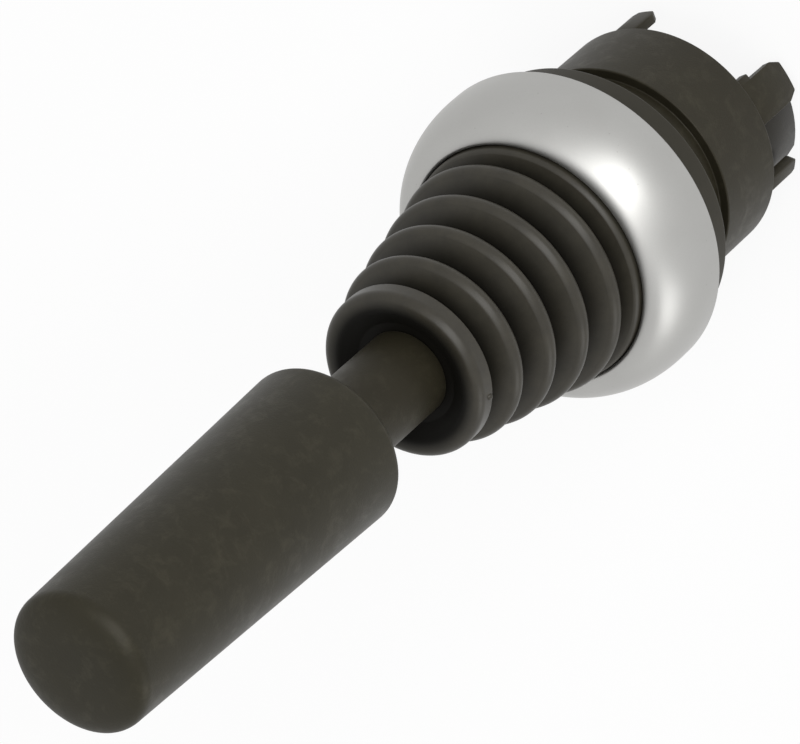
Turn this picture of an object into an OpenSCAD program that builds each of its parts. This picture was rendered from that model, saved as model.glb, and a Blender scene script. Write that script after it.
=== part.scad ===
// Four-way joystick for a round panel hole: a long lever that tilts on a gimbal inside a
// bezel, sealed by a bellows, and pushes four sprung plungers towards the rear.
// Origin: centre of the gasket's rear face, which rests on the panel. +Z points to the grip.

/* [Panel fitting] */
// Diameter of the barrel that passes through the panel hole
barrel_d = 22.14; // [21.6:0.02:22.3]
// How far the neck behind the gasket lies inside the barrel's surface
neck_step = 0.87; // [0.6:0.01:0.95]
// Distance from the panel seat back to the barrel's front step
neck_len = 4.64; // [4:0.02:6]
// Distance from the panel seat back to the barrel's rear rim
barrel_back = 12.76; // [12.4:0.02:16]
// Wall of the neck
neck_wall = 1.2; // [0.8:0.05:1.3]
// Wall of the barrel
barrel_wall = 1.17; // [1:0.01:1.4]

/* [Bezel and gasket] */
// How far the bezel stands out round the flange
bezel_wall = 2.45; // [1.8:0.05:4]
// Height of the bezel's front edge above the panel
bezel_top = 10.9; // [10.4:0.1:12]
// Height at which the bezel starts to curve inwards
bezel_curve_start = 4.87; // [4.3:0.01:6]
// How far the bezel's front lip reaches in over the bellows' foot
bezel_lip = 1.05; // [0.8:0.05:1.2]
// How far the gasket stands out round the barrel
gasket_over = 2.4; // [1.6:0.1:3]
// Thickness of the gasket
gasket_t = 3.6; // [2.6:0.1:3.8]
// Rounding of the gasket's rear edge
gasket_round = 0.3; // [0.2:0.1:1.2]

/* [Housing flange] */
// How far the flange inside the bezel stands out round the barrel
flange_over = 1.33; // [1:0.01:1.6]
// Thickness of the flange
flange_t = 2.4; // [2:0.1:2.6]
// Height of the snap bead on the flange's rim
bead_h = 0.22; // [0.15:0.01:0.3]
// Depth of the seat that holds the pivot carrier
carrier_seat = 0.8; // [0.6:0.05:1]
// Width of that seat round the neck's bore
carrier_rim = 1.35; // [1:0.05:1.5]

/* [Rear prongs] */
// Length of the long prong behind the barrel's rim
prong_long = 6.04; // [5:0.02:8]
// Length of the narrow prong behind the rim
prong_narrow = 4.1; // [3:0.02:7]
// Length of the tab behind the rim
prong_short = 3.8; // [2:0.02:5]
// Width of the long prong round the barrel, in degrees
prong_width = 21; // [16:1:24]
// Width of the narrow prong round the barrel, in degrees
narrow_width = 8; // [6:1:12]
// Width of the tab round the barrel, in degrees
tab_width = 12; // [8:1:16]
// Width of the coding nub beside the long prong, in degrees
nub_width = 3; // [2:0.5:4]
// Length of the coding nub behind the rim
nub_len = 1.6; // [0.6:0.1:1.8]

/* [Bellows] */
// Number of free folds
fold_count = 4; // [3:1:5]
// Distance from one fold to the next
fold_pitch = 4.08; // [3.8:0.02:4.5]
// Height of the lowest free fold above the bezel's front edge
fold_first_up = 3; // [2.8:0.05:3.5]
// How far the lowest free fold lies inside the bezel's opening
fold_inset = 0.35; // [0.2:0.05:0.6]
// How far the row of folds ends outside the front disc
disc_step = 0.25; // [0:0.05:0.5]
// Depth of the grooves between the folds
groove_depth = 2.6; // [2.2:0.05:2.8]
// Thickness of a fold's rounded lip
lip_t = 1.5; // [1.2:0.05:1.8]
// Wall of the bellows
bellows_wall = 0.8; // [0.5:0.05:0.9]
// Thickness of the clamped foot
foot_t = 1.4; // [1:0.1:1.6]
// Diameter of the front disc
disc_d = 15.5; // [14.6:0.1:16]
// Thickness of the front disc
disc_t = 2.1; // [1.8:0.1:2.3]
// Diameter of the recess round the neck
recess_d = 9.6; // [9:0.1:10.4]
// Depth of that recess
recess_depth = 1.0; // [0.6:0.1:1.1]

/* [Grip] */
// Length of neck that shows between the bellows and the grip
neck_show = 11.5; // [10:0.02:18]
// Length of the grip's tapered side
grip_len = 33.92; // [28:0.02:40]
// Diameter at the lower end
grip_base_d = 14.8; // [13:0.1:18]
// Diameter at the tip
grip_tip_d = 12.7; // [11.4:0.1:14]
// Height of the low dome on the tip
grip_dome = 2.03; // [1:0.01:3]
// Rounding of the lower edge
grip_round = 0.8; // [0.3:0.1:1.5]
// Diameter of the neck under the grip
sleeve_d = 7.8; // [7.4:0.1:8.4]
// Outer diameter of the threaded insert
insert_d = 7.2; // [6.8:0.1:8]
// Length of the threaded insert
insert_len = 18; // [12:1:24]

/* [Lever and pivot] */
// Height of the pivot centre above the housing's flange
pivot_up = 2; // [1.8:0.05:2.2]
// Largest tilt to each side, in degrees
tilt_max = 12; // [8:0.5:13]
// Radial gap between the lever's hub and the gimbal ring
hub_gap = 0.9; // [0.7:0.05:1.2]
// Length of the hub along the lever
hub_len = 5.2; // [4.6:0.1:5.6]
// Radius of the lever between the hub and the neck
stem_r = 3.0; // [2.8:0.05:3.2]
// Radius of the lever's threaded end in the grip
thread_r = 2.5; // [2.2:0.05:2.7]
// Radius of the lever's tail, which runs in the gate
tail_r = 1.2; // [1:0.05:1.3]
// Radius of the pivot pins
pin_r = 0.9; // [0.7:0.05:1]
// Radial width of the pivot carrier's ring
carrier_w = 1.85; // [1.6:0.05:2.1]
// Radial gap between the pivot carrier and the gimbal ring
gimbal_gap = 0.6; // [0.5:0.05:0.8]
// Radial width of the gimbal ring
gimbal_w = 2.1; // [1.8:0.05:2.2]
// Height of the gimbal ring
gimbal_h = 3.0; // [2.6:0.1:3.1]

/* [Switching parts] */
// Distance from the pivot down to the top of the pressure plate
plate_drop = 5.0; // [4.8:0.05:5.3]
// Thickness of the pressure plate
plate_t = 1.5; // [1.2:0.1:1.6]
// How far the pressure plate reaches past the plungers' axes
plate_over = 0.8; // [0.6:0.05:0.9]
// Radius of the lever where the pressure plate sits
plate_seat_r = 1.8; // [1.7:0.05:2.1]
// Thickness of the gate plate
gate_t = 1.2; // [0.8:0.1:1.4]
// Width of metal between the gate and the plunger holes
gate_web = 0.6; // [0.5:0.05:0.7]
// Radius of a plunger's rod
rod_r = 1.0; // [0.85:0.05:1.1]
// How far a plunger's domed head stands out round its rod
head_over = 0.3; // [0.2:0.05:0.4]
// Thickness of the spring collar
collar_t = 0.8; // [0.6:0.1:1]
// Free travel between the pressure plate and the plungers
free_travel = 0.45; // [0.42:0.01:0.6]
// Length of a plunger's tip behind the guide at rest
tip_out = 1.4; // [1.35:0.05:2]
// Length of the guide that shows behind the barrel's rim
guide_out = 1.64; // [1.5:0.02:3]
// How far the guide steps in behind its circlip
guide_step = 0.45; // [0.4:0.01:0.7]
// Solid end of the guide below the springs
guide_floor = 1.6; // [1.4:0.1:2]
// Length of the guide's two legs behind its rear face
leg_len = 5.4; // [4:0.1:8]
// Thickness of a leg
leg_t = 1.0; // [0.8:0.05:1.4]
// Width of a leg round the guide, in degrees
leg_width = 46; // [30:1:50]
// Radius of the spring's wire
wire_r = 0.2; // [0.15:0.01:0.22]
// Number of turns in a spring
coil_turns = 4; // [3:1:5]

/* [Clearances] */
// Gap round pieces that only lie inside one another
fit_gap = 0.05; // [0.03:0.01:0.06]
// Running clearance of a pin or rod in its hole
run_gap = 0.05; // [0.02:0.01:0.08]
// Gap left round the lever's tail at full tilt
gate_gap = 0.15; // [0.1:0.01:0.3]
// Gap round loose pieces such as springs and collars
loose_gap = 0.2; // [0.15:0.01:0.25]

/* [Hidden] */
$fn = 96;

// How far a cut runs past the faces it cuts
cut = 0.5;
// Bevel on the bellows' disc
edge = 0.25;
// How far the prongs stand inside the barrel's two surfaces
prong_relief = 0.2;
// How far the legs stand inside the guide's surface
leg_relief = 0.1;
// Half the height of the flange's snap bead
bead_half = 0.45;
// Height of the bellows' cuff above the bezel's front edge, up to its rounding
cuff_out = 0.1;
// How far the front disc lies behind the next fold's place
disc_drop = 0.18;
// Depth of the neck's groove for the bellows' inner lip
sleeve_groove = 0.5;
// How far the neck reaches down past the last fold
sleeve_under = 2;
// How far the lever's thread ends inside its bush
thread_short = 1;
// Step from the pressure plate's seat to the lever's shank
shank_step = 0.8;
// Depth and width of the groove for the clip behind the pressure plate
plate_groove = 0.4;
plate_clip_t = 0.5;
// Length of the lever's tail behind the gate plate
tail_out = 0.8;
// How far a spring collar stands out past its spring
collar_rim = 0.15;
// Free height above a spring collar at rest
collar_drop = 0.6;
// Depth of the guide's pocket and its width past the spring wells
pocket_depth = 2.1;
pocket_rim = 0.1;
// Thickness of the guide's circlip, its distance from the rim and its groove's depth
clip_t = 0.7;
clip_inset = 1.36;
clip_depth = 0.5;

// Housing and bezel
barrel_r = barrel_d / 2;
barrel_bore_r = barrel_r - barrel_wall;
neck_r = barrel_r - neck_step;
neck_bore_r = neck_r - neck_wall;
flange_r = barrel_r + flange_over;
flange_top = gasket_t + flange_t;
foot_top = flange_top + foot_t;
seat_r = neck_bore_r + carrier_rim;
carrier_out_r = neck_bore_r - 3 * fit_gap;
carrier_in_r = carrier_out_r - carrier_w;
carrier_z = flange_top - carrier_seat;
bead_z = gasket_t + flange_t / 2;
open_r = flange_r - bezel_lip;

// Plate, gate and plungers, from the pivot downwards
pivot_z = flange_top + pivot_up;
plate_top = pivot_z - plate_drop;
plate_back = plate_top - plate_t;
gate_top = -neck_len;
gate_back = gate_top - gate_t;
tail_end = gate_back - tail_out;
tail_swing = (pivot_z - gate_back) * tan(tilt_max) / cos(tilt_max);
gate_half = tail_swing + tail_r / cos(tilt_max) + gate_gap;
gate_hole_r = rod_r + loose_gap;
plunger_at = gate_half + gate_web + gate_hole_r;
plate_r = plunger_at + plate_over;
head_r = rod_r + head_over;
head_top = plate_back - free_travel;

// Plunger guide, springs and circlip
guide_front_r = barrel_bore_r - fit_gap;
guide_r = guide_front_r - guide_step;
guide_back = barrel_back + guide_out;
coil_r = rod_r + loose_gap + wire_r;
collar_r = coil_r + wire_r + collar_rim;
well_r = collar_r + loose_gap;
pocket_r = plunger_at + well_r + pocket_rim;
pocket_floor = gate_back - pocket_depth;
collar_top = pocket_floor - collar_drop;
collar_back = collar_top - collar_t;
spring_floor = -guide_back + guide_floor;
plunger_end = -guide_back - tip_out;
clip_top = -barrel_back + clip_inset;
clip_groove_r = barrel_bore_r + clip_depth;

// Bellows
cuff_r = open_r - 2 * fit_gap;
cuff_z = bezel_top + cuff_out;
foot_in_r = neck_bore_r - fit_gap;
lip_r = lip_t / 2;
disc_r = disc_d / 2;
fold_first_r = open_r - fold_inset;
fold_first_z = bezel_top + fold_first_up;
fold_taper = (fold_first_r - disc_r - disc_step) / fold_count;
last_z = fold_first_z + (fold_count - 1) * fold_pitch;
disc_back = last_z + fold_pitch - disc_t / 2 - disc_drop;
disc_top = disc_back + disc_t;
recess_floor = disc_top - recess_depth;

// Lever and grip
sleeve_r = sleeve_d / 2;
sleeve_groove_r = sleeve_r - sleeve_groove;
sleeve_z = last_z - sleeve_under;
hub_top = pivot_z + hub_len / 2;
hub_back = pivot_z - hub_len / 2;
gimbal_out_r = carrier_in_r - gimbal_gap;
gimbal_in_r = gimbal_out_r - gimbal_w;
hub_r = gimbal_in_r - hub_gap;
shank_r = plate_seat_r + shank_step;
plate_groove_r = plate_seat_r - plate_groove;
grip_z = disc_top + neck_show;
thread_end = grip_z + insert_len - thread_short;
tip_z = grip_z + grip_len;

// Ring between two radii and two heights
module ring(out_r, in_r, z0, z1) {
    difference() {
        translate([0, 0, z0]) cylinder(r = out_r, h = z1 - z0);
        translate([0, 0, z0 - cut]) cylinder(r = in_r, h = z1 - z0 + 2 * cut);
    }
}

// Turned solid from an outline of [radius, height] points
module turned(outline) {
    rotate_extrude() polygon(outline);
}

// Points of an arc in the turning plane, from one angle to another
function arc(c, r, a0, a1, steps) =
    [for (i = [0:steps]) let (a = a0 + (a1 - a0) * i / steps)
        [c[0] + r * cos(a), c[1] + r * sin(a)]];

// Curved prong between two radii, rooted in the wall that ends at rim_z, with both rear
// corners bevelled and a step of the given width left beside it
module prong(out_r, in_r, rim_z, middle, width, length, step_width) {
    z_tip = rim_z - length;
    half = out_r * sin(width / 2);
    side = half + out_r * sin(step_width);
    root = rim_z + cut;
    step_z = rim_z - nub_len;
    largest_bevel = 1.1;
    bevel = min(largest_bevel, 0.6 * half);
    rotate([0, 0, middle]) intersection() {
        ring(out_r, in_r, z_tip - cut, root);
        rotate([90, 0, 90]) linear_extrude(out_r + cut) polygon(concat(
            [
                [-half, root + cut], [-half, z_tip + bevel], [-half + bevel / 2, z_tip],
                [half - bevel / 2, z_tip], [half, z_tip + bevel]
            ],
            step_width > 0 ? [[half, step_z], [side, step_z]] : [],
            [[side, root + cut]]
        ));
    }
}

// Prong on the barrel's rear rim
module rim_prong(middle, width, length, step_width) {
    prong(barrel_r - prong_relief, barrel_bore_r + prong_relief, -barrel_back,
        middle, width, length, step_width);
}

// Bright ring on the front: an elliptical shoulder down to a short straight side
module bezel_ring() {
    out_r = flange_r + bezel_wall;
    round_r = 0.3;
    chamfer = 0.2;
    round_start = 108;
    rise = bezel_top - bezel_curve_start;
    run = out_r - open_r - round_r;
    steps = 24;
    shoulder = [for (i = [0:steps]) let (a = 90 * i / steps)
        [open_r + round_r + run * cos(a), bezel_curve_start + rise * sin(a)]];
    inner_edge = arc([open_r + round_r, bezel_top - round_r], round_r, round_start, 180, 4);
    bore_r = flange_r + fit_gap;
    color("silver") turned(concat(
        [[bore_r, gasket_t], [out_r - chamfer, gasket_t], [out_r, gasket_t + chamfer]],
        shoulder, inner_edge,
        [
            [open_r, foot_top], [bore_r, foot_top], [bore_r, bead_z + bead_half],
            [bore_r + bead_h, bead_z], [bore_r, bead_z - bead_half]
        ]
    ));
}

// Soft ring that seals the bezel and the housing against the panel
module panel_gasket() {
    out_r = barrel_r + gasket_over;
    in_r = neck_r + fit_gap;
    color("dimgray") turned(concat(
        [[in_r, gasket_t], [in_r, 0]],
        arc([out_r - gasket_round, gasket_round], gasket_round, -90, 0, 6),
        [[out_r, gasket_t]]
    ));
}

// Main moulding: flange, neck, barrel and the prongs of the bayonet at the rear
module barrel_housing() {
    rim = 0.12;
    long_at = -105.2;
    narrow_at = -146.5;
    tab_at = -28;
    color([0.2, 0.2, 0.18]) union() {
        turned([
            [neck_bore_r, -neck_len], [barrel_bore_r, -neck_len],
            [barrel_bore_r, clip_top], [clip_groove_r, clip_top],
            [clip_groove_r, clip_top - clip_t], [barrel_bore_r, clip_top - clip_t],
            [barrel_bore_r, -barrel_back], [barrel_r - rim, -barrel_back],
            [barrel_r, -barrel_back + rim], [barrel_r, -neck_len],
            [neck_r, -neck_len], [neck_r, gasket_t],
            [flange_r, gasket_t], [flange_r, bead_z - bead_half],
            [flange_r + bead_h, bead_z], [flange_r, bead_z + bead_half],
            [flange_r, flange_top], [seat_r, flange_top], [seat_r, carrier_z],
            [neck_bore_r, carrier_z]
        ]);
        for (turn = [0, 180]) {
            rim_prong(turn + long_at, prong_width, prong_long, nub_width);
            rim_prong(turn + narrow_at, narrow_width, prong_narrow, 0);
            rim_prong(turn + tab_at, tab_width, prong_short, 0);
        }
    }
}

// Rubber bellows: clamped foot, cuff, free folds and the front disc round the neck
module bellows() {
    fold_z = [for (i = [0:fold_count - 1]) fold_first_z + i * fold_pitch];
    fold_r = [for (i = [0:fold_count - 1]) fold_first_r - i * fold_taper];
    low_z = concat((cuff_z + fold_z[0]) / 2,
        [for (i = [1:fold_count - 1]) (fold_z[i - 1] + fold_z[i]) / 2],
        (last_z + lip_r + disc_back) / 2);
    low_r = concat(fold_r[0] + fold_taper / 2 - groove_depth,
        [for (i = [1:fold_count]) fold_first_r - (i - 0.5) * fold_taper - groove_depth]);
    valley = 0.35;
    valley_sweep = 70;
    lip_sweep = 80;
    soft = 0.8;
    cuff_round = 0.5;
    outside = concat(
        [[flange_r, flange_top], [flange_r, foot_top - fit_gap]],
        [[cuff_r, foot_top - fit_gap]],
        arc([cuff_r - cuff_round, cuff_z], cuff_round, 0, 90, 4),
        [for (i = [0:fold_count - 1]) each concat(
            arc([low_r[i] + valley, low_z[i]], valley, 180 + valley_sweep, 180 - valley_sweep, 4),
            arc([fold_r[i] - lip_r, fold_z[i]], lip_r, -lip_sweep, lip_sweep, 8)
        )],
        arc([low_r[fold_count] + valley, low_z[fold_count]], valley,
            180 + valley_sweep, 180 - valley_sweep, 4),
        [[disc_r - edge, disc_back], [disc_r, disc_back + edge]],
        arc([disc_r - soft, disc_top - soft], soft, 0, 90, 6)
    );
    mouth = [
        [recess_d / 2, disc_top], [recess_d / 2, recess_floor],
        [sleeve_groove_r + fit_gap, recess_floor], [sleeve_groove_r + fit_gap, disc_back]
    ];
    inside = concat(
        [[low_r[fold_count] - bellows_wall, disc_back]],
        [for (k = [0:fold_count - 1]) let (i = fold_count - 1 - k) each [
            [low_r[i + 1] - bellows_wall, low_z[i + 1] - valley],
            [fold_r[i] - 2 * bellows_wall, fold_z[i] + valley / 2],
            [fold_r[i] - 2 * bellows_wall, fold_z[i] - valley / 2],
            [low_r[i] - bellows_wall, low_z[i] + valley]
        ]],
        [
            [low_r[0] - bellows_wall, low_z[0] - valley],
            [cuff_r - bellows_wall, cuff_z - bellows_wall],
            [cuff_r - bellows_wall, foot_top],
            [foot_in_r + fit_gap, foot_top], [foot_in_r + fit_gap, flange_top]
        ]
    );
    color([0.1, 0.1, 0.09]) turned(concat(outside, mouth, inside));
}

// Moulded seat for the gimbal: a ring with two ears that hold the trunnion pins
module pivot_carrier() {
    ear_wall = 1.1;
    ear_r = pin_r + ear_wall;
    foot_lap = 0.35;
    undercut = 0.4;
    low = carrier_z + undercut;
    color([0.35, 0.35, 0.32]) difference() {
        union() {
            ring(carrier_out_r, carrier_in_r, low, foot_top - 2 * fit_gap);
            ring(seat_r - fit_gap, carrier_out_r - foot_lap, carrier_z, flange_top);
            for (side = [0, 180]) rotate([0, 0, side]) intersection() {
                ring(carrier_out_r, carrier_in_r, low, pivot_z + ear_r);
                union() {
                    translate([0, -ear_r, low]) cube([carrier_out_r, 2 * ear_r, pivot_z - low]);
                    translate([0, 0, pivot_z]) rotate([0, 90, 0]) cylinder(r = ear_r, h = carrier_out_r);
                }
            }
        }
        translate([-carrier_out_r, 0, pivot_z]) rotate([0, 90, 0])
            cylinder(r = pin_r + run_gap, h = 2 * carrier_out_r);
    }
}

// Hardened plate with the square gate that limits the lever's tail
module gate_plate() {
    color("lightsteelblue") difference() {
        translate([0, 0, gate_back]) cylinder(r = guide_front_r, h = gate_t);
        translate([0, 0, gate_back - cut]) linear_extrude(gate_t + 2 * cut)
            square(2 * gate_half, center = true);
        for (side = [0:90:270]) rotate([0, 0, side])
            translate([plunger_at, 0, gate_back - cut])
                cylinder(r = gate_hole_r, h = gate_t + 2 * cut);
    }
}

// Rear insert that guides the plungers and holds their springs, with two curved legs
module plunger_guide() {
    bevel = 0.3;
    leg_at = -129;
    leg_out_r = guide_r - leg_relief;
    color([0.16, 0.16, 0.15]) difference() {
        union() {
            turned([
                [0, -guide_back], [guide_r - bevel, -guide_back], [guide_r, -guide_back + bevel],
                [guide_r, clip_top], [guide_front_r, clip_top], [guide_front_r, gate_back],
                [pocket_r, gate_back], [pocket_r, pocket_floor], [0, pocket_floor]
            ]);
            for (turn = [0, 180])
                prong(leg_out_r, leg_out_r - leg_t, -guide_back, turn + leg_at, leg_width, leg_len, 0);
        }
        for (side = [0:90:270]) rotate([0, 0, side]) translate([plunger_at, 0, 0]) {
            translate([0, 0, spring_floor]) cylinder(r = well_r, h = pocket_floor + cut - spring_floor);
            translate([0, 0, -guide_back - cut]) cylinder(r = rod_r + run_gap, h = guide_back);
        }
    }
}

// Split ring that holds the plunger guide in the barrel
module guide_circlip() {
    gap_half = 14;
    color("gainsboro") difference() {
        ring(clip_groove_r - fit_gap, guide_r + fit_gap, clip_top - clip_t + fit_gap, clip_top);
        rotate([0, 0, 135 - gap_half]) translate([0, 0, clip_top - 2 * clip_t])
            rotate_extrude(angle = 2 * gap_half)
                translate([guide_r - cut, 0]) square([2, 3 * clip_t]);
    }
}

// Coil spring between a plunger's collar and the floor of its well
module plunger_spring(at) {
    sides = 6;
    per_turn = 12;
    rings = coil_turns * per_turn;
    low = spring_floor + wire_r;
    rise = collar_back - wire_r - low;
    points = [for (i = [0:rings], j = [0:sides - 1])
        let (turn = 360 * i / per_turn, a = 360 * j / sides, r = coil_r + wire_r * cos(a))
        [r * cos(turn), r * sin(turn), low + rise * i / rings + wire_r * sin(a)]];
    skin = [for (i = [0:rings - 1], j = [0:sides - 1]) let (k = (j + 1) % sides) each [
        [i * sides + j, i * sides + k, (i + 1) * sides + k],
        [i * sides + j, (i + 1) * sides + k, (i + 1) * sides + j]
    ]];
    first_end = [for (j = [1:sides - 2]) [0, j + 1, j]];
    last_end = [for (j = [1:sides - 2]) [rings * sides, rings * sides + j, rings * sides + j + 1]];
    color("gainsboro") translate(at) polyhedron(points, concat(skin, first_end, last_end));
}

// Ring that tilts on the trunnion pins and carries the lever's cross pin
module gimbal_ring() {
    color("lightslategray") difference() {
        ring(gimbal_out_r, gimbal_in_r, pivot_z - gimbal_h / 2, pivot_z + gimbal_h / 2);
        translate([-barrel_r, 0, pivot_z]) rotate([0, 90, 0]) cylinder(r = pin_r, h = 2 * barrel_r);
        translate([0, barrel_r, pivot_z]) rotate([90, 0, 0])
            cylinder(r = pin_r + run_gap, h = 2 * barrel_r);
    }
}

// Two pins fixed in the gimbal ring, turning in the carrier's ears
module trunnion_pins() {
    outer_gap = 0.35;
    pin_in = gimbal_in_r + 2 * fit_gap;
    pin_out = foot_in_r - outer_gap;
    color("silver") for (side = [0, 180]) rotate([0, 0, side])
        translate([pin_in, 0, pivot_z]) rotate([0, 90, 0]) cylinder(r = pin_r, h = pin_out - pin_in);
}

// Turned steel lever: threaded top, stem, hub with cross hole, plate seat and tail
module lever_shaft() {
    lead = 0.5;
    land = 0.5;
    slope = 0.2;
    chamfer = 0.4;
    groove_back = plate_back - plate_clip_t - 2 * fit_gap;
    seat_back = groove_back - land;
    color("lightgray") difference() {
        turned([
            [0, tail_end], [tail_r - chamfer, tail_end], [tail_r, tail_end + chamfer],
            [tail_r, seat_back - slope], [plate_seat_r, seat_back],
            [plate_seat_r, groove_back], [plate_groove_r, groove_back],
            [plate_groove_r, plate_back], [plate_seat_r, plate_back],
            [plate_seat_r, plate_top], [shank_r, plate_top], [shank_r, hub_back - chamfer],
            [hub_r - chamfer, hub_back], [hub_r, hub_back + chamfer], [hub_r, hub_top - chamfer],
            [hub_r - chamfer, hub_top], [stem_r, hub_top], [stem_r, sleeve_z],
            [thread_r, sleeve_z], [thread_r, thread_end - lead],
            [thread_r - lead, thread_end], [0, thread_end]
        ]);
        translate([0, hub_r + cut, pivot_z]) rotate([90, 0, 0])
            cylinder(r = pin_r, h = 2 * (hub_r + cut));
    }
}

// Pin through the hub, turning in the gimbal ring
module cross_pin() {
    end_gap = 0.2;
    half = gimbal_out_r - end_gap;
    color("silver") translate([0, half, pivot_z]) rotate([90, 0, 0]) cylinder(r = pin_r, h = 2 * half);
}

// Disc under the pivot that pushes the plungers down
module pressure_plate() {
    rim = 0.25;
    color("darkgray") difference() {
        turned([
            [0, plate_back], [plate_r - rim, plate_back], [plate_r, plate_back + rim],
            [plate_r, plate_top - rim], [plate_r - rim, plate_top], [0, plate_top]
        ]);
        translate([0, 0, plate_back - cut]) cylinder(r = plate_seat_r, h = plate_t + 2 * cut);
    }
}

// Open clip in the groove below the pressure plate
module plate_clip() {
    mouth = 2.2;
    overlap = 1;
    clip_r = plate_seat_r + overlap;
    low = plate_back - plate_clip_t;
    color("gainsboro") difference() {
        ring(clip_r, plate_groove_r, low, plate_back);
        translate([0, -mouth / 2, low - cut]) cube([clip_r + cut, mouth, plate_clip_t + 2 * cut]);
    }
}

// Neck between the bellows and the grip, grooved for the bellows' inner lip
module neck_sleeve() {
    color([0.22, 0.22, 0.2]) turned([
        [thread_r, sleeve_z], [sleeve_r, sleeve_z], [sleeve_r, disc_back - fit_gap],
        [sleeve_groove_r, disc_back - fit_gap], [sleeve_groove_r, recess_floor + fit_gap],
        [sleeve_r, recess_floor + fit_gap], [sleeve_r, grip_z], [thread_r, grip_z]
    ]);
}

// Threaded bush moulded into the grip
module grip_insert() {
    color("goldenrod") ring(insert_d / 2, thread_r, grip_z, grip_z + insert_len);
}

// Long tapered grip with a low domed tip
module grip() {
    base_r = grip_base_d / 2;
    tip_r = grip_tip_d / 2;
    flatness = 3.5;
    steps = 14;
    dome = [for (i = [0:steps]) let (a = 90 * i / steps)
        [tip_r * pow(cos(a), 2 / flatness), tip_z + grip_dome * pow(sin(a), 2 / flatness)]];
    color([0.24, 0.23, 0.2]) difference() {
        turned(concat(
            [[0, grip_z]],
            arc([base_r - grip_round, grip_z + grip_round], grip_round, -90, 0, 6),
            dome
        ));
        translate([0, 0, grip_z - cut]) cylinder(r = insert_d / 2, h = insert_len + cut);
    }
}

// Sprung push rod with a domed head, a spring collar and a tip behind the guide
module plunger(at) {
    tip = 0.3;
    neck_z = head_top - 2 * head_r;
    color("ivory") translate(at) turned(concat(
        [
            [0, plunger_end], [rod_r - tip, plunger_end], [rod_r, plunger_end + tip],
            [rod_r, collar_back], [collar_r, collar_back], [collar_r, collar_top],
            [rod_r, collar_top], [rod_r, neck_z], [head_r, neck_z]
        ],
        arc([0, head_top - head_r], head_r, 0, 90, 12)
    ));
}

bezel_ring();
panel_gasket();
barrel_housing();
bellows();
pivot_carrier();
gate_plate();
plunger_guide();
guide_circlip();
plunger_spring([plunger_at, 0, 0]);  // spring_right
plunger_spring([-plunger_at, 0, 0]);  // spring_left
plunger_spring([0, plunger_at, 0]);  // spring_rear
plunger_spring([0, -plunger_at, 0]);  // spring_front
gimbal_ring();
trunnion_pins();
lever_shaft();
cross_pin();
pressure_plate();
plate_clip();
neck_sleeve();
grip_insert();
grip();
plunger([plunger_at, 0, 0]);  // plunger_right
plunger([-plunger_at, 0, 0]);  // plunger_left
plunger([0, plunger_at, 0]);  // plunger_rear
plunger([0, -plunger_at, 0]);  // plunger_front
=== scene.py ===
from math import acos, atan2, cos, pi, radians, sin, tan, tau

import bmesh
import bpy
from mathutils import Matrix, Vector


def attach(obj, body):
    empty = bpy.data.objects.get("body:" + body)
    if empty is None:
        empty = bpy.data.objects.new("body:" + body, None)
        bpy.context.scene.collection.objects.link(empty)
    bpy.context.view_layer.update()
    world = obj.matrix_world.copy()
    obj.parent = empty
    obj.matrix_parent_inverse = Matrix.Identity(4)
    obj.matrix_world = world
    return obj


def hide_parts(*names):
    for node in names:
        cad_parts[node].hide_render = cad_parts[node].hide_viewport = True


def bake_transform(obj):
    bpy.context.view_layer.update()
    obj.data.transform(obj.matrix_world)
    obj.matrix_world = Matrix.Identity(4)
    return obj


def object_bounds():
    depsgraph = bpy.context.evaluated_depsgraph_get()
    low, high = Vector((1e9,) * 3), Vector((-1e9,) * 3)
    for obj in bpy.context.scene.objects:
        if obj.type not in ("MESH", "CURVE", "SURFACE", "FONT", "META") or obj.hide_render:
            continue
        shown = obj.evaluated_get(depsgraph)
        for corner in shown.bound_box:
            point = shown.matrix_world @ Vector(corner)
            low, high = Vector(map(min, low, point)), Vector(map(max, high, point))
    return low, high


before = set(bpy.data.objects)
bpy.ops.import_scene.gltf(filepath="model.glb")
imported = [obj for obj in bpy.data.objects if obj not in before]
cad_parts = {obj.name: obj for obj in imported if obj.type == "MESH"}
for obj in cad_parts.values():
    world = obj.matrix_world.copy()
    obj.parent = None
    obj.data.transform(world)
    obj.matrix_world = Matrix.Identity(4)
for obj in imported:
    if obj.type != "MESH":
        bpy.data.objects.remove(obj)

MM = 0.001
cad_low, cad_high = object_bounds()
scene = bpy.context.scene

# ---- View ----
# The joystick is seen from above its front, from the grip's end, with the grip pointing
# down to the left. A long lens keeps the perspective weak.

LOOK_AT = (0.371, 9.905, 21.006)
DISTANCE = 475.48
ELEVATION = radians(44.424)
ROLL = radians(131.744)

ahead = Vector((0, cos(ELEVATION), -sin(ELEVATION)))
level = Vector((1, 0, 0))
upright = Vector((0, sin(ELEVATION), cos(ELEVATION)))
up = cos(ROLL) * upright + sin(ROLL) * level
right = cos(ROLL) * level - sin(ROLL) * upright
lens = bpy.data.cameras.new("view")
lens.lens = 250.54
lens.sensor_width = 36
lens.clip_start = 0.05
lens.clip_end = 20
camera = bpy.data.objects.new("view", lens)
turn = Matrix((right, up, -ahead)).transposed().to_4x4()
camera.matrix_world = Matrix.Translation((Vector(LOOK_AT) - DISTANCE * ahead) * MM) @ turn
scene.collection.objects.link(camera)
scene.camera = camera
scene.view_settings.view_transform = "Standard"

# ---- Floor and light ----
# A pale paper floor under the switch, a white surround, a tall narrow soft lamp behind the
# viewer and a weaker one at the left. From below the floor is clear.


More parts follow.
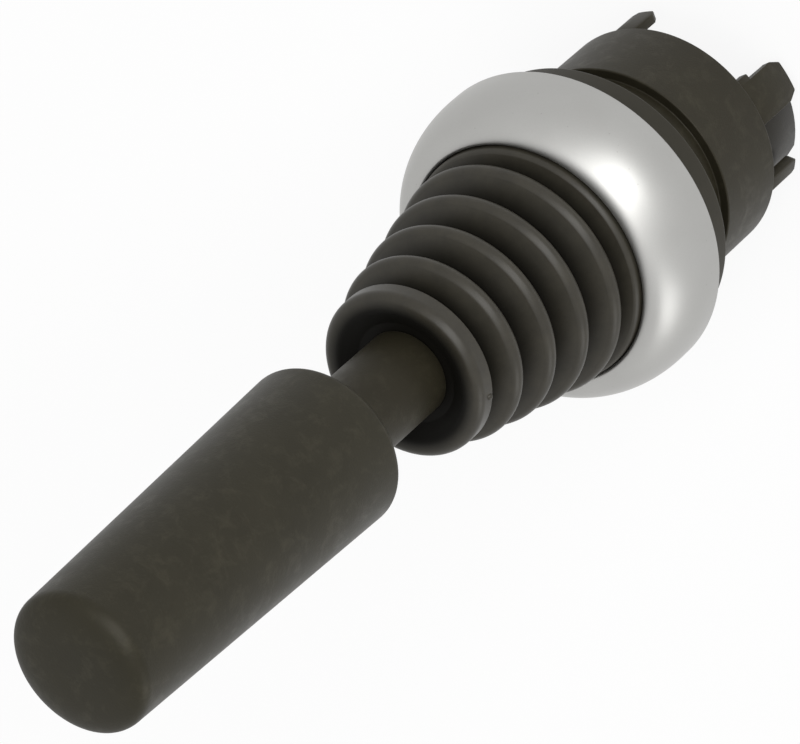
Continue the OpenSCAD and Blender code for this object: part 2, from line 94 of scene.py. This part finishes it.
class Signal:
    """An output of a finish's nodes. Sums on it add Math nodes."""

    def __init__(self, finish, socket):
        self.finish = finish
        self.socket = socket

    def sibling(self, name):
        return Signal(self.finish, self.socket.node.outputs[name])

    def math(self, operation, first, second):
        return self.finish.node("ShaderNodeMath", {"operation": operation}, {0: first, 1: second})

    def __add__(self, other):
        return self.math("ADD", self, other)

    def __radd__(self, other):
        return self.math("ADD", other, self)

    def __sub__(self, other):
        return self.math("SUBTRACT", self, other)

    def __rsub__(self, other):
        return self.math("SUBTRACT", other, self)

    def __mul__(self, other):
        return self.math("MULTIPLY", self, other)

    def __rmul__(self, other):
        return self.math("MULTIPLY", other, self)

    def __truediv__(self, other):
        return self.math("DIVIDE", self, other)

    def __pow__(self, other):
        return self.math("POWER", self, other)


class Finish:
    """A procedural material or the world's surround, written as one tree of nodes."""

    def __init__(self, owner):
        self.owner = owner
        owner.use_nodes = True
        self.tree = owner.node_tree
        self.tree.nodes.clear()

    def node(self, kind, settings=None, sockets=None, output=0):
        made = self.tree.nodes.new(kind)
        for name, value in (settings or {}).items():
            if name == "stops":
                while len(made.color_ramp.elements) < len(value):
                    made.color_ramp.elements.new(1)
                for stop, (at, grey) in zip(made.color_ramp.elements, value):
                    stop.position = at
                    stop.color = (grey, grey, grey, 1)
            else:
                setattr(made, name, value)
        for name, value in (sockets or {}).items():
            if isinstance(value, Signal):
                self.tree.links.new(value.socket, made.inputs[name])
            else:
                made.inputs[name].default_value = value
        return Signal(self, made.outputs[output] if len(made.outputs) else None)

    def mix(self, amount, first, second):
        return self.node("ShaderNodeMix", {"data_type": "RGBA"}, {0: amount, 6: first, 7: second}, 2)


def tone(red, green, blue):
    """Linear colour of a paint given in 0-255 steps."""
    steps = [c / 255 for c in (red, green, blue)]
    return (*[c / 12.92 if c <= 0.04045 else ((c + 0.055) / 1.055) ** 2.4 for c in steps], 1)


surround = Finish(bpy.data.worlds.new("surround"))
scene.world = surround.owner
ray = surround.node("ShaderNodeLightPath", output="Is Camera Ray")
seen = ray + ray.sibling("Is Glossy Ray") + ray.sibling("Is Transmission Ray")
lit = surround.node("ShaderNodeBackground", None, {"Color": (1, 1, 1, 1), "Strength": 0.5})
shown = surround.node("ShaderNodeBackground", None, {"Color": (1, 1, 1, 1), "Strength": 1.0})
both = surround.node("ShaderNodeMixShader", None, {0: seen, 1: lit, 2: shown})
surround.node("ShaderNodeOutputWorld", None, {"Surface": both})

FLOOR_RADIUS = 3.0
paper = Finish(bpy.data.materials.new("floor_paper"))
grain = paper.node("ShaderNodeTexNoise", None, {"Scale": 400, "Detail": 3})
sheet = paper.node("ShaderNodeBsdfDiffuse", None, {
    "Color": paper.mix(grain, (0.93, 0.93, 0.93, 1), (0.97, 0.97, 0.97, 1)),
})
glow = paper.node("ShaderNodeEmission", None, {"Color": (1, 1, 1, 1), "Strength": 1.0})
ray = paper.node("ShaderNodeLightPath", output="Is Camera Ray")
seen = ray + ray.sibling("Is Glossy Ray") + ray.sibling("Is Transmission Ray")
top = paper.node("ShaderNodeMixShader", None, {0: seen * 0.88, 1: sheet, 2: glow})
below = paper.node("ShaderNodeNewGeometry", output="Backfacing")
clear = paper.node("ShaderNodeBsdfTransparent")
paper.node("ShaderNodeOutputMaterial", None, {
    "Surface": paper.node("ShaderNodeMixShader", None, {0: below, 1: top, 2: clear}),
})
bm = bmesh.new()
bmesh.ops.create_circle(bm, cap_ends=True, segments=64, radius=FLOOR_RADIUS)
floor_mesh = bpy.data.meshes.new("floor")
bm.to_mesh(floor_mesh)
bm.free()
floor_mesh.materials.append(paper.owner)
floor = bpy.data.objects.new("floor", floor_mesh)
floor.location.z = cad_low.z - 0.0002
scene.collection.objects.link(floor)


def lamp(name, place, width, height, power):
    """Soft lamp aimed at the bellows, with its place, width and height in mm."""
    light = bpy.data.lights.new(name, "AREA")
    light.shape = "RECTANGLE"
    light.size = width * MM
    light.size_y = height * MM
    light.energy = power
    made = bpy.data.objects.new(name, light)
    away = Vector(place) - Vector((0, 0, 20))
    made.matrix_world = Matrix.Translation(Vector(place) * MM) @ away.to_track_quat("Z", "Y").to_matrix().to_4x4()
    scene.collection.objects.link(made)


lamp("lamp_behind_viewer", (-10, -560, 460), 330, 1200, 5.4)
lamp("lamp_left", (-560, -40, 120), 260, 420, 0.7)

# ---- Barrel housing ----
# The main moulding, of glass-filled black polyamide: flange, neck, barrel and, at the rear,
# two sets of bayonet prongs. Its matt skin comes from the spark-eroded mould.

FLANGE_R, FLANGE_Z0, FLANGE_Z1 = 12.4, 3.6, 6.0
NECK_R, NECK_BORE_R = 10.2, 9.0
BARREL_R, BARREL_BORE_R = 11.07, 9.9
STEP_Z, RIM_Z, NUB_Z = -4.64, -12.76, -14.36
CLIP_Z0, CLIP_Z1, CLIP_GROOVE_R = -12.1, -11.4, 10.4
SEAT_R, SEAT_Z = 10.35, 5.2


def eased(corners, steps=5, guard=0.08):
    """Outline in which each (radius, height, rounding) corner is eased to an arc."""
    outline = []
    for before, corner, after in zip(corners[-1:] + corners[:-1], corners, corners[1:] + corners[:1]):
        here = Vector(corner[:2])
        rounding = corner[2] if len(corner) > 2 else 0
        if not rounding:
            outline.append(tuple(here))
            continue
        back, on = Vector(before[:2]) - here, Vector(after[:2]) - here
        half = back.angle(on) / 2
        reach = rounding / tan(half)
        centre = here + (back.normalized() + on.normalized()).normalized() * rounding / sin(half)
        start = here + back.normalized() * reach - centre
        end = here + on.normalized() * reach - centre
        first = atan2(start.y, start.x)
        sweep = atan2(start.x * end.y - start.y * end.x, start.dot(end))
        if back.length > reach + 3 * guard:
            outline.append(tuple(here + back.normalized() * (reach + guard)))
        outline += [
            (centre.x + rounding * cos(first + sweep * i / steps),
             centre.y + rounding * sin(first + sweep * i / steps))
            for i in range(steps + 1)
        ]
        if on.length > reach + 3 * guard:
            outline.append(tuple(here + on.normalized() * (reach + guard)))
    return outline


def turned(outline, steps=192):
    """Solid turned round the lever's axis from a closed outline of (radius, height) in mm."""
    bm = bmesh.new()
    rings = []
    for radius, height in outline:
        spokes = [tau * i / steps for i in range(steps)] if radius > 0 else [0]
        rings.append([
            bm.verts.new((radius * cos(a) * MM, radius * sin(a) * MM, height * MM)) for a in spokes
        ])
    for first, second in zip(rings, rings[1:] + rings[:1]):
        for i in range(steps):
            j = (i + 1) % steps
            corners = [
                first[i % len(first)], first[j % len(first)],
                second[j % len(second)], second[i % len(second)],
            ]
            corners = list(dict.fromkeys(corners))
            if len(corners) > 2:
                bm.faces.new(corners)
    bmesh.ops.recalc_face_normals(bm, faces=bm.faces)
    return bm


def piece(name, bm, finish):
    """Object with smooth faces and crisp corners, made from a mesh under construction."""
    mesh = bpy.data.meshes.new(name)
    bm.to_mesh(mesh)
    bm.free()
    mesh.shade_smooth()
    mesh.set_sharp_from_angle(angle=radians(32))
    mesh.materials.append(finish.owner)
    made = bpy.data.objects.new(name, mesh)
    scene.collection.objects.link(made)
    return made


def add_prong(bm, outer, inner, back, middle, width, tip_z, nub=0):
    """Adds a prong behind a rear face: its middle, width and nub in degrees, the rest in mm."""
    root = back + 0.4
    half = outer * sin(radians(width / 2))
    side = half + outer * sin(radians(nub))
    bevel = min(1.1, 0.6 * half)
    edge = [(-half, tip_z + bevel), (-half + bevel / 2, tip_z)]
    edge += [(-half + bevel / 2 + (2 * half - bevel) * i / 8, tip_z) for i in range(1, 8)]
    edge += [(half - bevel / 2, tip_z), (half, tip_z + bevel)]
    if nub:
        edge += [(half, NUB_Z), (side, NUB_Z)]
    made = bmesh.new()
    spin = Matrix.Rotation(radians(middle), 4, "Z")
    walls = []
    for radius in (outer, inner):
        tips, roots = [], []
        for across, z in edge:
            out = (radius ** 2 - across ** 2) ** 0.5
            tips.append(made.verts.new(spin @ Vector((out, across, z)) * MM))
            if len(roots) and abs(across - last) < 1e-9:
                roots.append(roots[-1])
            else:
                roots.append(made.verts.new(spin @ Vector((out, across, root)) * MM))
            last = across
        walls.append((tips, roots))
    (tips_out, roots_out), (tips_in, roots_in) = walls
    for i in range(len(edge) - 1):
        made.faces.new((tips_out[i], tips_out[i + 1], tips_in[i + 1], tips_in[i]))
        if roots_out[i] is roots_out[i + 1]:
            continue
        made.faces.new((roots_out[i], roots_out[i + 1], tips_out[i + 1], tips_out[i]))
        made.faces.new((roots_in[i], tips_in[i], tips_in[i + 1], roots_in[i + 1]))
        made.faces.new((roots_out[i], roots_in[i], roots_in[i + 1], roots_out[i + 1]))
    for i in (0, -1):
        made.faces.new((tips_out[i], tips_in[i], roots_in[i], roots_out[i]))
    bmesh.ops.recalc_face_normals(made, faces=made.faces)
    corners = [e for e in made.edges if len(e.link_faces) == 2 and e.calc_face_angle() > radians(25)]
    bmesh.ops.bevel(made, geom=corners, offset=0.11 * MM, segments=2, profile=0.5, affect="EDGES")
    part = bpy.data.meshes.new("prong")
    made.to_mesh(part)
    made.free()
    bm.from_mesh(part)
    bpy.data.meshes.remove(part)


bm = turned(eased([
    (NECK_BORE_R, STEP_Z), (BARREL_BORE_R, STEP_Z), (BARREL_BORE_R, CLIP_Z1),
    (CLIP_GROOVE_R, CLIP_Z1), (CLIP_GROOVE_R, CLIP_Z0), (BARREL_BORE_R, CLIP_Z0),
    (BARREL_BORE_R, RIM_Z, 0.1), (BARREL_R, RIM_Z, 0.14), (BARREL_R, STEP_Z, 0.14),
    (NECK_R, STEP_Z, 0.1), (NECK_R, FLANGE_Z0), (FLANGE_R, FLANGE_Z0, 0.1),
    (FLANGE_R, 4.35), (FLANGE_R + 0.22, 4.8, 0.1), (FLANGE_R, 5.25), (FLANGE_R, FLANGE_Z1, 0.1),
    (SEAT_R, FLANGE_Z1, 0.05), (SEAT_R, SEAT_Z), (NECK_BORE_R, SEAT_Z),
]))
for half_turn in (0, 180):
    for middle, width, tip_z, nub in ((-105.2, 21, -18.8, 3), (-146.5, 8, -16.86, 0), (-28, 12, -16.56, 0)):
        add_prong(bm, BARREL_R - 0.1, BARREL_BORE_R + 0.2, RIM_Z, half_turn + middle, width, tip_z, nub)


def moulded(name, dark, pale, roughness, grain_size, grain_depth):
    """Matt moulded plastic: eroded grain, slow flow marks and faint paler rubbed patches."""
    finish = Finish(bpy.data.materials.new(name))
    place = finish.node("ShaderNodeVectorMath", {"operation": "SCALE"}, {
        0: finish.node("ShaderNodeTexCoord", output="Object"), "Scale": 1000,
    })
    flow = finish.node("ShaderNodeTexNoise", None, {"Vector": place, "Scale": 0.22, "Detail": 3})
    grain = finish.node("ShaderNodeTexNoise", None, {
        "Vector": place, "Scale": 1 / grain_size, "Detail": 4, "Roughness": 0.6,
    })
    rub = finish.node("ShaderNodeTexNoise", None, {
        "Vector": place, "Scale": 0.55, "Detail": 8, "Roughness": 0.72, "Distortion": 0.4,
    })
    rubbed = finish.node("ShaderNodeValToRGB", {"stops": [(0.5, 0), (0.72, 1)]}, {0: rub})
    colour = finish.mix(flow * 0.5 + rubbed * 0.6, dark, pale)
    colour = finish.mix(grain * 0.3, colour, dark)
    bump = finish.node("ShaderNodeBump", None, {
        "Strength": 0.6, "Distance": grain_depth * MM, "Height": grain,
    })
    surface = finish.node("ShaderNodeBsdfPrincipled", None, {
        "Base Color": colour, "Roughness": roughness + flow * 0.12 - rubbed * 0.08,
        "Specular IOR Level": 0.2, "Specular Tint": (1, 0.96, 0.87, 1), "Normal": bump,
    })
    finish.node("ShaderNodeOutputMaterial", None, {"Surface": surface})
    return finish


housing_plastic = moulded("housing_plastic", tone(31, 28, 19), tone(50, 47, 36), 0.42, 0.16, 0.02)
barrel = piece("barrel_housing_skin", bm, housing_plastic)
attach(barrel, "housing")
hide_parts("barrel_housing")

# ---- Panel gasket ----
# A soft black rubber ring between the panel and the bezel, slipped over the neck. Its rear
# outer edge is slightly rounded, where it beds on the panel.

GASKET_R, GASKET_BORE_R, GASKET_T = 13.47, 10.25, 3.6


def rubber(name, dark, pale, roughness):
    """Satin moulded rubber with a fine bloom and small specks."""
    finish = Finish(bpy.data.materials.new(name))
    place = finish.node("ShaderNodeVectorMath", {"operation": "SCALE"}, {
        0: finish.node("ShaderNodeTexCoord", output="Object"), "Scale": 1000,
    })
    bloom = finish.node("ShaderNodeTexNoise", None, {
        "Vector": place, "Scale": 0.35, "Detail": 6, "Roughness": 0.65,
    })
    fine = finish.node("ShaderNodeTexNoise", None, {"Vector": place, "Scale": 5, "Detail": 3})
    colour = finish.mix(bloom * 0.8, dark, pale)
    bump = finish.node("ShaderNodeBump", None, {
        "Strength": 0.5, "Distance": 0.012 * MM, "Height": fine,
    })
    surface = finish.node("ShaderNodeBsdfPrincipled", None, {
        "Base Color": colour, "Roughness": roughness + bloom * 0.15,
        "Specular IOR Level": 0.22, "Specular Tint": (1, 0.97, 0.9, 1), "Normal": bump,
    })
    finish.node("ShaderNodeOutputMaterial", None, {"Surface": surface})
    return finish


gasket_rubber = rubber("gasket_rubber", tone(30, 28, 21), tone(48, 45, 36), 0.42)
gasket = piece("panel_gasket_skin", turned(eased([
    (GASKET_BORE_R, 0), (GASKET_R, 0, 0.3), (GASKET_R, GASKET_T, 0.12), (GASKET_BORE_R, GASKET_T),
], steps=8)), gasket_rubber)
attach(gasket, "housing")
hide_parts("panel_gasket")

# ---- Bezel ring ----
# The bright ring that snaps over the flange: a moulding with a satin metallic coat. Its
# elliptical shoulder runs in to the opening round the bellows.

BEZEL_R, BEZEL_BORE_R, OPEN_R = 14.85, 12.45, 11.35
BEZEL_TOP, SHOULDER_Z, LIP_BACK = 10.9, 4.87, 7.4
EDGE_R = 0.3

shoulder = [
    (OPEN_R + EDGE_R + (BEZEL_R - OPEN_R - EDGE_R) * cos(pi / 2 * i / 48),
     SHOULDER_Z + (BEZEL_TOP - SHOULDER_Z) * sin(pi / 2 * i / 48))
    for i in range(49)
]
inner_edge = [
    (OPEN_R + EDGE_R + EDGE_R * cos(radians(a)), BEZEL_TOP - EDGE_R + EDGE_R * sin(radians(a)))
    for a in range(99, 181, 9)
]
foot = eased([
    (OPEN_R, LIP_BACK), (BEZEL_BORE_R, LIP_BACK), (BEZEL_BORE_R, 5.25), (BEZEL_BORE_R + 0.22, 4.8),
    (BEZEL_BORE_R, 4.35), (BEZEL_BORE_R, GASKET_T), (BEZEL_R, GASKET_T, 0.2), (BEZEL_R, SHOULDER_Z),
])[:-1]

bezel_metal = Finish(bpy.data.materials.new("bezel_metal"))
place = bezel_metal.node("ShaderNodeVectorMath", {"operation": "SCALE"}, {
    0: bezel_metal.node("ShaderNodeTexCoord", output="Object"), "Scale": 1000,
})
flake = bezel_metal.node("ShaderNodeTexNoise", None, {"Vector": place, "Scale": 7, "Detail": 3, "Roughness": 0.7})
cloud = bezel_metal.node("ShaderNodeTexNoise", None, {"Vector": place, "Scale": 0.18, "Detail": 4})
speck = bezel_metal.node("ShaderNodeTexVoronoi", None, {"Vector": place, "Scale": 0.9})
dot = bezel_metal.node("ShaderNodeValToRGB", {"stops": [(0.03, 1), (0.07, 0)]}, {0: speck})
colour = bezel_metal.mix(cloud * 0.5 + flake * 0.4, tone(164, 163, 160), tone(182, 182, 180))
colour = bezel_metal.mix(dot * 0.35, colour, tone(120, 118, 112))
surface = bezel_metal.node("ShaderNodeBsdfPrincipled", None, {
    "Base Color": colour, "Metallic": 1.0, "Roughness": 0.36 + cloud * 0.06 + flake * 0.06,
    "Normal": bezel_metal.node("ShaderNodeBump", None, {
        "Strength": 0.35, "Distance": 0.006 * MM, "Height": flake,
    }),
})
bezel_metal.node("ShaderNodeOutputMaterial", None, {"Surface": surface})
bezel = piece("bezel_ring_skin", turned(shoulder + inner_edge + foot), bezel_metal)
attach(bezel, "housing")
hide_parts("bezel_ring")

# ---- Bellows ----
# One black rubber moulding: a foot clamped under the bezel, a collar, four free folds and
# a thick front disc whose inner lip grips the neck. It is built as a lower and an upper half,
# which meet in the groove between the middle folds.

FOOT_R, FOOT_IN_R, FOOT_Z0, FOOT_Z1 = 12.4, 9.0, 6.0, 7.35
COLLAR_R, COLLAR_TOP = 11.25, 11.5
FOLDS = [(11.0, 13.9), (10.25, 17.98), (9.5, 22.06), (8.75, 26.14)]
GROOVES = [(8.775, 12.45), (8.025, 15.94), (7.275, 20.02), (6.525, 24.1), (5.775, 27.94)]
LIP, VALLEY, WALL = 0.75, 0.35, 0.8
DISC_R, DISC_Z0, DISC_Z1 = 7.75, 28.99, 31.09
DISH_R, RECESS_R, RECESS_Z, MOUTH_R = 6.1, 4.7, 30.09, 3.45
CREST_R, CREST_Z, CREST_TAPER = 11.0, 13.9, 0.184


def arc(centre, radius, first, last, steps):
    """Points of an arc in the turning plane, from one angle in degrees to another."""
    angles = [radians(first + (last - first) * i / steps) for i in range(steps + 1)]
    return [(centre[0] + radius * cos(a), centre[1] + radius * sin(a)) for a in angles]


def groove(number, first=250, last=110):
    radius, z = GROOVES[number]
    return arc((radius + VALLEY, z), VALLEY, first, last, 8)


def fold(number):
    radius, z = FOLDS[number]
    return arc((radius - LIP, z), LIP, -84, 84, 16)


def hollow(number):
    """Inner side of a fold, from its front to its rear."""
    radius, z = FOLDS[number]
    tip = radius - 2 * WALL
    low, high = GROOVES[number], GROOVES[number + 1]
    return [(high[0] - WALL, high[1] - VALLEY), (tip, z + VALLEY / 2), (tip, z - VALLEY / 2),
            (low[0] - WALL, low[1] + VALLEY)]


middle_r, middle_z = GROOVES[2]
lower = (
    [(FOOT_IN_R, FOOT_Z0), (FOOT_R, FOOT_Z0), (FOOT_R, FOOT_Z1), (COLLAR_R, FOOT_Z1)]
    + arc((COLLAR_R - 0.5, COLLAR_TOP - 0.5), 0.5, 0, 90, 8)
    + groove(0) + fold(0) + groove(1) + fold(1) + groove(2, 250, 180)
    + [(middle_r - WALL, middle_z)] + hollow(1) + hollow(0)
    + [(GROOVES[0][0] - WALL, GROOVES[0][1] - VALLEY), (COLLAR_R - WALL, 10.2),
       (COLLAR_R - WALL, 7.4), (FOOT_IN_R, 7.4)]
)
upper = (
    groove(2, 180, 110) + fold(2) + groove(3) + fold(3) + groove(4)
    + eased([(DISC_R - 1, DISC_Z0), (DISC_R, DISC_Z0, 0.25), (DISC_R, DISC_Z1, 0.8),
             (DISH_R, DISC_Z1, 0.6), (RECESS_R, RECESS_Z + 0.15, 0.3), (MOUTH_R, RECESS_Z),
             (MOUTH_R, DISC_Z0)], steps=8)[1:]
    + [(GROOVES[4][0] - WALL, DISC_Z0)] + hollow(3) + hollow(2) + [(middle_r - WALL, middle_z)]
)


def mark_crests(half):
    """Keeps with the mesh how near each point lies to the folds' crests, used for the crests' coat and for
    painted shade in the grooves.
    """
    crest = half.data.attributes.new("crest", "FLOAT", "POINT")
    for vertex, value in zip(half.data.vertices, crest.data):
        radius = vertex.co.xy.length / MM
        depth = CREST_R - CREST_TAPER * (vertex.co.z / MM - CREST_Z) - radius
        share = min(1, max(0, (1.7 - depth) / 1.2))
        value.value = share * share * (3 - 2 * share)


bellows_rubber = Finish(bpy.data.materials.new("bellows_rubber"))
place = bellows_rubber.node("ShaderNodeVectorMath", {"operation": "SCALE"}, {
    0: bellows_rubber.node("ShaderNodeTexCoord", output="Object"), "Scale": 1000,
})
crest = bellows_rubber.node("ShaderNodeAttribute", {"attribute_name": "crest"}, output="Fac")
bloom = bellows_rubber.node("ShaderNodeTexNoise", None, {
    "Vector": place, "Scale": 0.5, "Detail": 7, "Roughness": 0.68,
})
fine = bellows_rubber.node("ShaderNodeTexNoise", None, {"Vector": place, "Scale": 5, "Detail": 3})
# Painted shade: the colour runs from near black in the grooves, where shade falls between the folds, to paler
# rubber on the crests.
colour = bellows_rubber.mix(crest * (0.35 + bloom * 0.9), tone(12, 11, 8), tone(52, 49, 41))
surface = bellows_rubber.node("ShaderNodeBsdfPrincipled", None, {
    "Base Color": colour, "Roughness": 0.5 + bloom * 0.15 - crest * 0.1,
    "Specular IOR Level": 0.08, "Coat Weight": crest * 0.45, "Coat Roughness": 0.34,
    "Normal": bellows_rubber.node("ShaderNodeBump", None, {
        "Strength": 0.5, "Distance": 0.012 * MM, "Height": fine,
    }),
})
bellows_rubber.node("ShaderNodeOutputMaterial", None, {"Surface": surface})

lower_half = piece("bellows_lower", turned(lower), bellows_rubber)
mark_crests(lower_half)
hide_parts("bellows")
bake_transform(lower_half)
bm = turned(upper)
pip = Matrix.Rotation(radians(-142), 4, "Z") @ Matrix.Translation(Vector((DISC_R - 0.12, 0, 29.56)) * MM)
bmesh.ops.create_uvsphere(bm, u_segments=20, v_segments=12, radius=0.34 * MM, matrix=pip)
upper_half = piece("bellows_upper", bm, bellows_rubber)
mark_crests(upper_half)
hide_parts("bellows")
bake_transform(upper_half)

# ---- Neck sleeve ----
# A plastic sleeve pushed over the lever between the pivot and the grip. The bellows' inner
# lip snaps into its groove.

SLEEVE_R, SLEEVE_GROOVE_R, SLEEVE_BORE_R = 3.9, 3.4, 2.5
SLEEVE_Z0, SLEEVE_Z1 = 24.14, 42.59

sleeve = piece("neck_sleeve_skin", turned(eased([
    (SLEEVE_BORE_R, SLEEVE_Z0), (SLEEVE_R, SLEEVE_Z0, 0.1), (SLEEVE_R, DISC_Z0 - 0.05),
    (SLEEVE_GROOVE_R, DISC_Z0 - 0.05), (SLEEVE_GROOVE_R, RECESS_Z + 0.05),
    (SLEEVE_R, RECESS_Z + 0.05, 0.12), (SLEEVE_R, SLEEVE_Z1), (SLEEVE_BORE_R, SLEEVE_Z1),
])), housing_plastic)
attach(sleeve, "lever")
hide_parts("neck_sleeve")

# ---- Grip ----
# The long tapered grip, moulded in matt black plastic round its threaded bush, with a low
# domed tip. Hands have rubbed faint paler patches into its sides.

GRIP_Z0, GRIP_Z1, GRIP_DOME = 42.59, 76.51, 2.03
GRIP_BASE_R, GRIP_TIP_R, INSERT_R, INSERT_TOP = 7.4, 6.35, 3.6, 60.59

dome = [
    (GRIP_TIP_R * cos(pi / 2 * i / 40) ** (2 / 3.5), GRIP_Z1 + GRIP_DOME * sin(pi / 2 * i / 40) ** (2 / 3.5))
    for i in range(40)
]
grip_plastic = moulded("grip_plastic", tone(30, 28, 19), tone(52, 49, 38), 0.4, 0.2, 0.02)
grip = piece("grip_skin", turned(
    [(INSERT_R, INSERT_TOP), (INSERT_R, GRIP_Z0)]
    + arc((GRIP_BASE_R - 0.8, GRIP_Z0 + 0.8), 0.8, -90, 0, 8)
    + dome + [(0, GRIP_Z1 + GRIP_DOME), (0, INSERT_TOP)]
), grip_plastic)
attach(grip, "lever")
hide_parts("grip")

# ---- Plunger guide ----
# The rear insert, of glossier black plastic: a pocket and four wells for the springs, four
# holes for the plungers and two long curved legs that clip into what follows behind.

GUIDE_FRONT_R, GUIDE_R, GUIDE_Z = 9.85, 9.4, -14.4
POCKET_R, POCKET_Z, GATE_BACK = 8.23, -7.94, -5.84
PLUNGER_AT, ROD_HOLE_R, WELL_R, WELL_Z = 6.184, 1.05, 1.95, -12.8


def tube(bm, outline, centre, steps):
    """Adds an open tube turned round an upright axis and gives back the edges of its two ends."""
    rings = [[
        bm.verts.new((centre[0] + radius * cos(tau * i / steps) * MM,
                      centre[1] + radius * sin(tau * i / steps) * MM, height * MM))
        for i in range(steps)
    ] for radius, height in outline]
    for first, second in zip(rings, rings[1:]):
        for i in range(steps):
            j = (i + 1) % steps
            bm.faces.new((first[i], first[j], second[j], second[i]))
    return [[bm.edges.get((end[i - 1], end[i])) for i in range(steps)] for end in (rings[0], rings[-1])]


bm = bmesh.new()
rear, front = tube(bm, [
    (GUIDE_R - 0.3, GUIDE_Z), (GUIDE_R - 0.22, GUIDE_Z + 0.03), (GUIDE_R - 0.03, GUIDE_Z + 0.22),
    (GUIDE_R, GUIDE_Z + 0.3), (GUIDE_R, CLIP_Z1), (GUIDE_FRONT_R, CLIP_Z1), (GUIDE_FRONT_R, GATE_BACK),
    (POCKET_R, GATE_BACK), (POCKET_R, POCKET_Z),
], (0, 0), 192)
for side in range(4):
    across, along = PLUNGER_AT * cos(side * pi / 2) * MM, PLUNGER_AT * sin(side * pi / 2) * MM
    behind, before = tube(bm, [
        (ROD_HOLE_R + 0.15, GUIDE_Z), (ROD_HOLE_R, GUIDE_Z + 0.15), (ROD_HOLE_R, WELL_Z),
        (WELL_R, WELL_Z), (WELL_R, POCKET_Z),
    ], (across, along), 48)
    rear += behind
    front += before
bmesh.ops.triangle_fill(bm, edges=rear, use_beauty=True)
bmesh.ops.triangle_fill(bm, edges=front, use_beauty=True)
bmesh.ops.recalc_face_normals(bm, faces=bm.faces)
for middle in (-129, 51):
    add_prong(bm, GUIDE_R - 0.1, GUIDE_R - 1.1, GUIDE_Z, middle, 46, -19.8)
guide_plastic = moulded("guide_plastic", tone(20, 18, 14), tone(40, 37, 31), 0.3, 0.2, 0.012)
guide = piece("plunger_guide_skin", bm, guide_plastic)
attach(guide, "housing")
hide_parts("plunger_guide")

# ---- Inner pieces ----
# The steel and plastic pieces inside keep their solids and take a finish each.


def dress(node, finish):
    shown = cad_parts[node]
    shown.data.materials.clear()
    shown.data.materials.append(finish.owner)


def metal(name, dark, pale, roughness):
    """Turned or drawn metal with fine tool marks round its axis and faint stains."""
    finish = Finish(bpy.data.materials.new(name))
    place = finish.node("ShaderNodeVectorMath", {"operation": "SCALE"}, {
        0: finish.node("ShaderNodeTexCoord", output="Object"), "Scale": 1000,
    })
    stretched = finish.node("ShaderNodeVectorMath", {"operation": "MULTIPLY"}, {0: place, 1: (0.5, 0.5, 14)})
    marks = finish.node("ShaderNodeTexNoise", None, {"Vector": stretched, "Scale": 1, "Detail": 4})
    stain = finish.node("ShaderNodeTexNoise", None, {"Vector": place, "Scale": 0.5, "Detail": 5})
    surface = finish.node("ShaderNodeBsdfPrincipled", None, {
        "Base Color": finish.mix(stain * 0.6 + marks * 0.4, dark, pale), "Metallic": 1.0,
        "Roughness": roughness + stain * 0.12 + marks * 0.08,
        "Normal": finish.node("ShaderNodeBump", None, {
            "Strength": 0.4, "Distance": 0.008 * MM, "Height": marks,
        }),
    })
    finish.node("ShaderNodeOutputMaterial", None, {"Surface": surface})
    return finish


steel = metal("steel", tone(150, 150, 148), tone(188, 188, 186), 0.28)
spring_steel = metal("spring_steel", tone(140, 141, 142), tone(192, 193, 194), 0.22)
brass = metal("brass", tone(178, 142, 78), tone(204, 170, 104), 0.28)
inner_plastic = moulded("inner_plastic", tone(70, 69, 64), tone(92, 90, 84), 0.45, 0.2, 0.015)
plunger_plastic = moulded("plunger_plastic", tone(206, 200, 184), tone(222, 217, 203), 0.4, 0.2, 0.012)

for node in ("lever_shaft", "cross_pin", "trunnion_pins", "gate_plate", "pressure_plate", "gimbal_ring"):
    dress(node, steel)
for node in ("guide_circlip", "plate_clip", "spring_right", "spring_left", "spring_rear", "spring_front"):
    dress(node, spring_steel)
dress("grip_insert", brass)
dress("pivot_carrier", inner_plastic)
for side in ("right", "left", "rear", "front"):
    dress("plunger_" + side, plunger_plastic)
